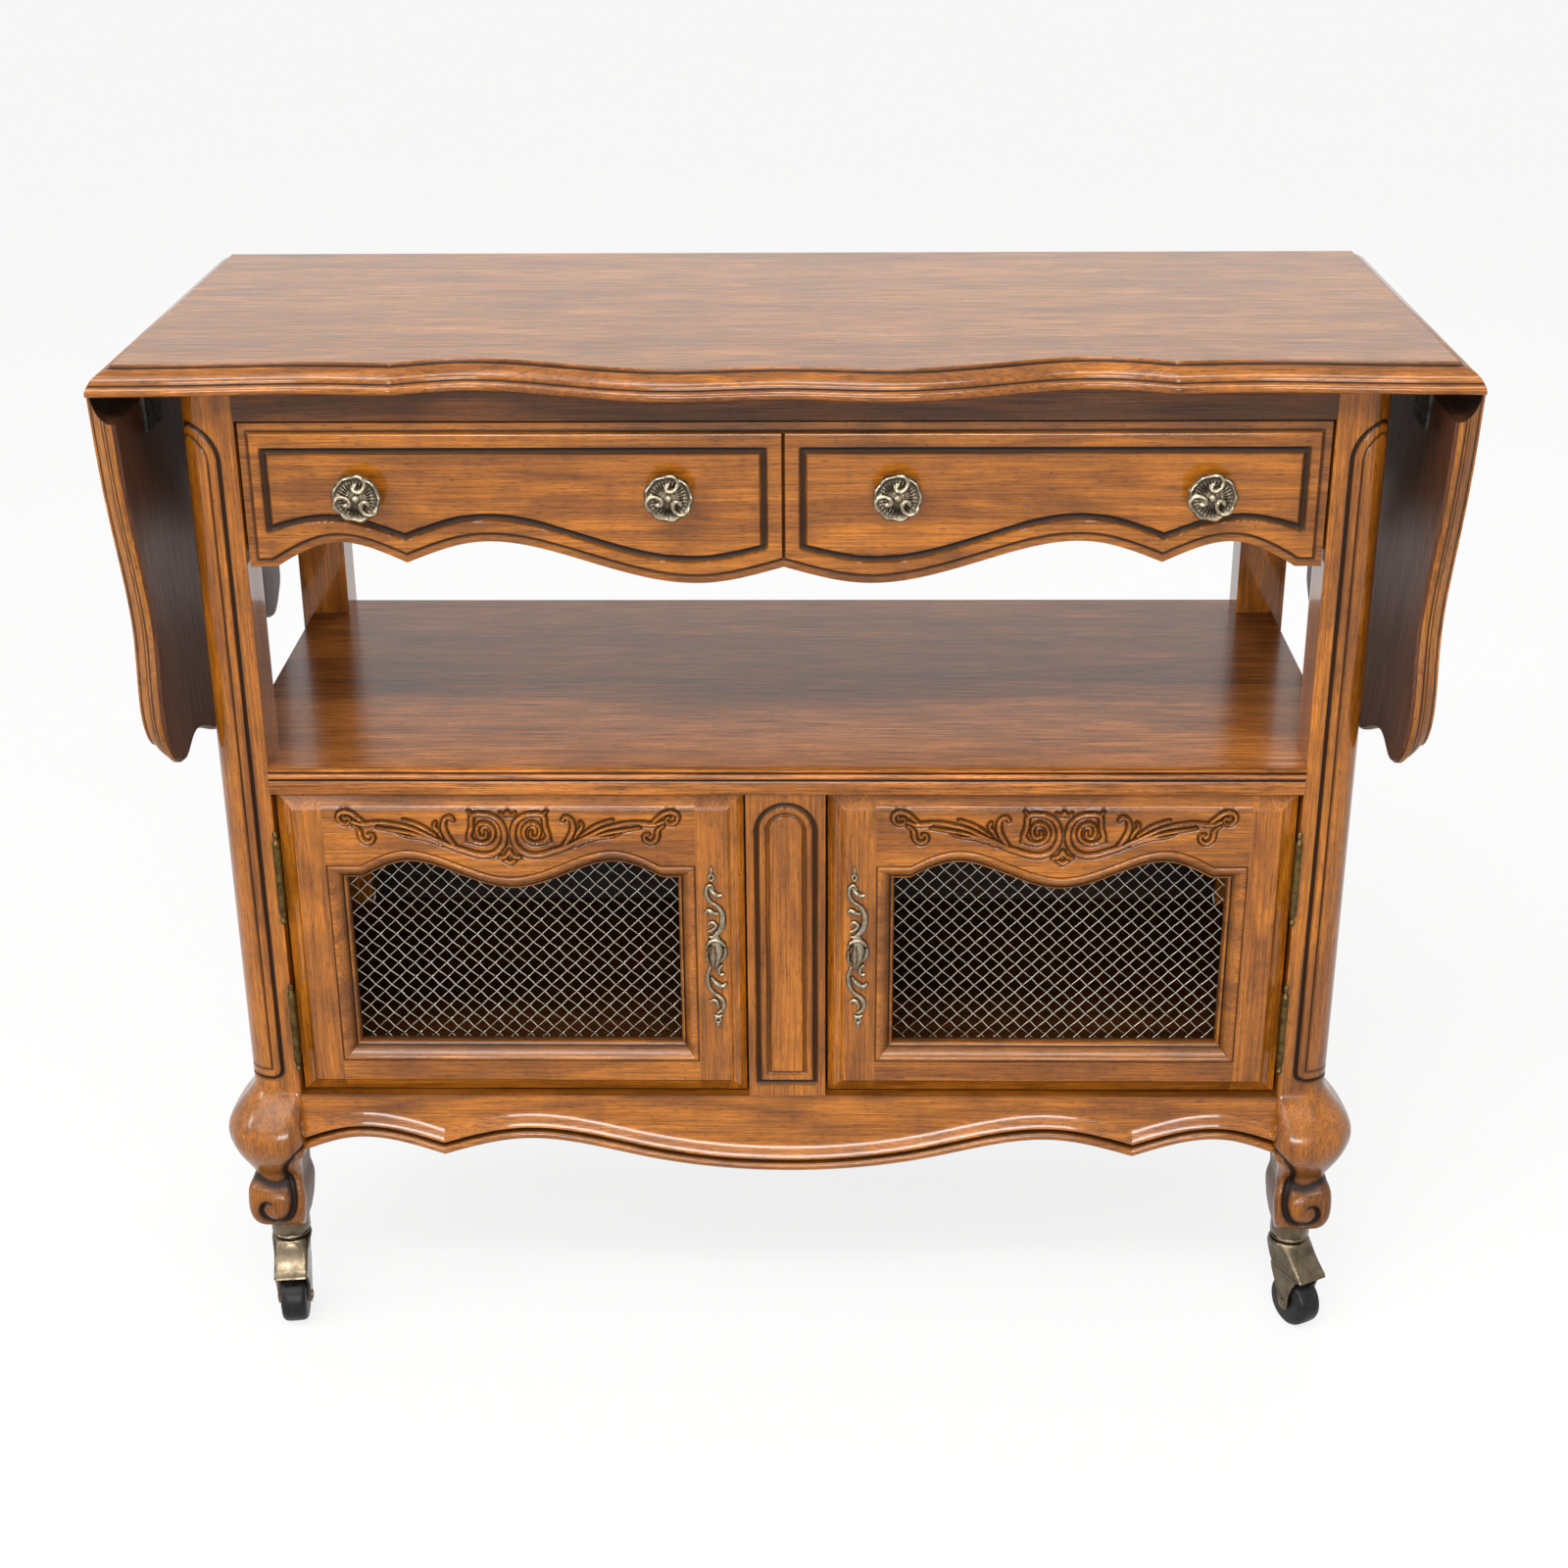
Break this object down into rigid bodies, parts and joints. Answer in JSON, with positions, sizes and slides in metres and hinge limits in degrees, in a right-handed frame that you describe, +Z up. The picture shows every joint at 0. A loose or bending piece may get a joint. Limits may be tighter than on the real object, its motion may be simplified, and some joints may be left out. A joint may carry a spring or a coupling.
{
  "type": "drop leaf tea trolley",
  "caption": "Provincial style drop leaf serving trolley with a scalloped drawer, open shelf, wire grille doors, hinged end leaves and scroll feet on swivel casters.",
  "frame": {"origin": "on the floor under the centre of the trolley with both leaves hanging", "axes": "+X to the right along the top, +Y to the back, +Z up; the drawer and doors face -Y"},
  "size_m": [1.034, 0.442, 0.86],
  "materials": {
    "glazed_fruitwood": "satin lacquer",
    "veneered_fruitwood": "satin lacquer",
    "secondary_wood": "sealed",
    "antique_brass": "antiqued",
    "brass_wire": "bright lacquered",
    "dark_brass": "dark antiqued",
    "dark_steel": "blued",
    "caster_rubber": "matte"
  },
  "bodies": {
    "carcass": {"top_panel": "veneered_fruitwood", "front_post_left": "glazed_fruitwood", "front_post_right": "glazed_fruitwood", "back_post_left": "glazed_fruitwood", "back_post_right": "glazed_fruitwood", "front_rail": "glazed_fruitwood", "side_rail_left": "glazed_fruitwood", "side_rail_right": "glazed_fruitwood", "back_rail": "glazed_fruitwood", "drawer_runners": "secondary_wood", "shelf": "veneered_fruitwood", "cabinet_side_left": "glazed_fruitwood", "cabinet_side_right": "glazed_fruitwood", "cabinet_back": "secondary_wood", "cabinet_floor": "secondary_wood", "centre_stile": "glazed_fruitwood", "front_apron": "glazed_fruitwood", "side_apron_left": "glazed_fruitwood", "side_apron_right": "glazed_fruitwood", "back_apron": "glazed_fruitwood", "door_catches": "dark_steel", "door_hinge_post_leaves": "dark_brass", "leaf_hinge_top_plates": "dark_steel", "support_brackets": "dark_steel", "caster_ferrules": "antique_brass"},
    "drawer": {"drawer_front": "glazed_fruitwood", "drawer_sides": "secondary_wood", "drawer_back": "secondary_wood", "drawer_bottom": "secondary_wood", "drawer_knobs": "antique_brass"},
    "door_left": {"door_left_lock_stile": "glazed_fruitwood", "door_left_hinge_stile": "glazed_fruitwood", "door_left_top_rail": "glazed_fruitwood", "door_left_bottom_rail": "glazed_fruitwood", "door_left_moulding": "glazed_fruitwood", "door_left_grille": "brass_wire", "door_left_pull": "antique_brass", "door_left_hinge_leaves": "dark_brass"},
    "leaf_left": {"leaf_left_panel": "veneered_fruitwood", "leaf_left_hinge_flaps": "dark_steel"},
    "support_left": {"support_arm_left": "secondary_wood"},
    "door_right": {"door_right_lock_stile": "glazed_fruitwood", "door_right_hinge_stile": "glazed_fruitwood", "door_right_top_rail": "glazed_fruitwood", "door_right_bottom_rail": "glazed_fruitwood", "door_right_moulding": "glazed_fruitwood", "door_right_grille": "brass_wire", "door_right_pull": "antique_brass", "door_right_hinge_leaves": "dark_brass"},
    "leaf_right": {"leaf_right_panel": "veneered_fruitwood", "leaf_right_hinge_flaps": "dark_steel"},
    "support_right": {"support_arm_right": "secondary_wood"},
    "caster_front_left": {"caster_front_left_fork": "antique_brass"},
    "wheel_front_left": {"caster_front_left_wheel": "caster_rubber"},
    "caster_front_right": {"caster_front_right_fork": "antique_brass"},
    "wheel_front_right": {"caster_front_right_wheel": "caster_rubber"},
    "caster_back_left": {"caster_back_left_fork": "antique_brass"},
    "wheel_back_left": {"caster_back_left_wheel": "caster_rubber"},
    "caster_back_right": {"caster_back_right_fork": "antique_brass"},
    "wheel_back_right": {"caster_back_right_wheel": "caster_rubber"}
  },
  "joints": [
    {"name": "drawer_slide", "type": "slide", "parent": "carcass", "child": "drawer", "axis": [0, -1, 0], "range_m": [0, 0.25]},
    {"name": "door_left_hinge", "type": "hinge", "parent": "carcass", "child": "door_left", "pos_m": [-0.4108, -0.1842, 0.3655], "axis": [0, 0, -1], "range_deg": [0, 100]},
    {"name": "leaf_left_hinge", "type": "hinge", "parent": "carcass", "child": "leaf_left", "pos_m": [-0.495, 0.0085, 0.838], "axis": [0, 1, 0], "range_deg": [0, 92.5]},
    {"name": "support_left_swing", "type": "hinge", "parent": "carcass", "child": "support_left", "pos_m": [-0.452, 0.0085, 0.8292], "axis": [0, 1, 0], "range_deg": [0, 90]},
    {"name": "door_right_hinge", "type": "hinge", "parent": "carcass", "child": "door_right", "pos_m": [0.4108, -0.1842, 0.3655], "axis": [0, 0, 1], "range_deg": [0, 100]},
    {"name": "leaf_right_hinge", "type": "hinge", "parent": "carcass", "child": "leaf_right", "pos_m": [0.495, 0.0085, 0.838], "axis": [0, -1, 0], "range_deg": [0, 92.5]},
    {"name": "support_right_swing", "type": "hinge", "parent": "carcass", "child": "support_right", "pos_m": [0.452, 0.0085, 0.8292], "axis": [0, -1, 0], "range_deg": [0, 90]},
    {"name": "caster_front_left_swivel", "type": "hinge", "parent": "carcass", "child": "caster_front_left", "pos_m": [-0.437, -0.162, 0.085], "axis": [0, 0, 1], "continuous": true},
    {"name": "wheel_front_left_roll", "type": "hinge", "parent": "caster_front_left", "child": "wheel_front_left", "pos_m": [-0.43533, -0.17791, 0.0225], "axis": [0.9945, 0.1045, 0], "continuous": true},
    {"name": "caster_front_right_swivel", "type": "hinge", "parent": "carcass", "child": "caster_front_right", "pos_m": [0.437, -0.162, 0.085], "axis": [0, 0, 1], "continuous": true},
    {"name": "wheel_front_right_roll", "type": "hinge", "parent": "caster_front_right", "child": "wheel_front_right", "pos_m": [0.44451, -0.17613, 0.0225], "axis": [0.8829, 0.4695, 0], "continuous": true},
    {"name": "caster_back_left_swivel", "type": "hinge", "parent": "carcass", "child": "caster_back_left", "pos_m": [-0.437, 0.198, 0.085], "axis": [0, 0, 1], "continuous": true},
    {"name": "wheel_back_left_roll", "type": "hinge", "parent": "caster_back_left", "child": "wheel_back_left", "pos_m": [-0.44033, 0.18235, 0.0225], "axis": [0.9781, -0.2079, 0], "continuous": true},
    {"name": "caster_back_right_swivel", "type": "hinge", "parent": "carcass", "child": "caster_back_right", "pos_m": [0.437, 0.198, 0.085], "axis": [0, 0, 1], "continuous": true},
    {"name": "wheel_back_right_roll", "type": "hinge", "parent": "caster_back_right", "child": "wheel_back_right", "pos_m": [0.44247, 0.18296, 0.0225], "axis": [0.9397, 0.342, 0], "continuous": true}
  ],
  "couplings": [
    {"joint": "support_left_swing", "follows": "leaf_left_hinge", "ratio": 0.97297},
    {"joint": "support_right_swing", "follows": "leaf_right_hinge", "ratio": 0.97297}
  ]
}
